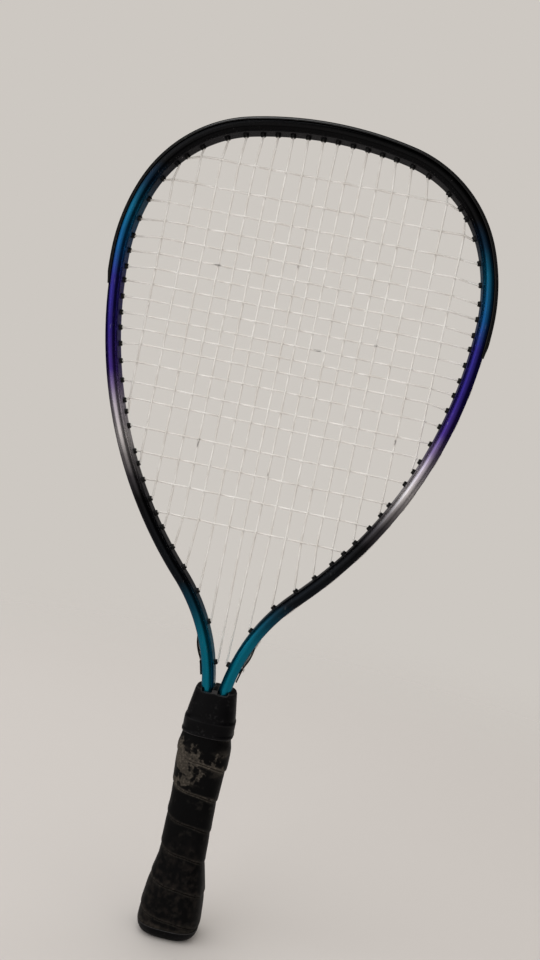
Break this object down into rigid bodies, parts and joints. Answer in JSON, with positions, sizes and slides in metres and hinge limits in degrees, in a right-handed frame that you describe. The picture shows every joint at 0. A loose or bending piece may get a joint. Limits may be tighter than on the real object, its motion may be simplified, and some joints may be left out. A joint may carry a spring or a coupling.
{
  "type": "racquetball racket",
  "caption": "Teardrop-headed racket with a strung bed, bumper guard, rubber collar and a short spiral-wrapped grip; for indoor ball games.",
  "frame": {"origin": "centre of the butt end's flat face", "axes": "+Z along the handle to the tip of the head, +X across the head, the hitting face seen in the picture towards -Y"},
  "size_m": [0.2564, 0.038, 0.552],
  "materials": {
    "frame_paint": "metallic gloss paint fading from navy through teal, violet and silver",
    "guard_plastic": "black moulded nylon, satin",
    "string_nylon": "clear cream monofilament",
    "collar_rubber": "soft black rubber",
    "wrap_rubber": "matt black wrap worn to olive grey",
    "handle_core": "rigid moulded foam",
    "finishing_vinyl": "thin black vinyl tape",
    "fastener_steel": "zinc plated",
    "rivet_aluminium": "plain"
  },
  "bodies": {
    "root": {"frame_tube": "frame_paint", "bumper_guard": "guard_plastic", "left_grommet_strip": "guard_plastic", "right_grommet_strip": "guard_plastic", "left_throat_grommet": "guard_plastic", "right_throat_grommet": "guard_plastic", "main_string": "string_nylon", "cross_string": "string_nylon", "front_pallet": "handle_core", "rear_pallet": "handle_core", "left_shaft_rivet": "rivet_aluminium", "right_shaft_rivet": "rivet_aluminium", "upper_pallet_screw": "fastener_steel", "lower_pallet_screw": "fastener_steel", "collar": "collar_rubber", "finishing_tape": "finishing_vinyl", "grip_wrap": "wrap_rubber", "butt_cap": "collar_rubber", "left_butt_tack": "fastener_steel", "right_butt_tack": "fastener_steel"}
  },
  "joints": []
}
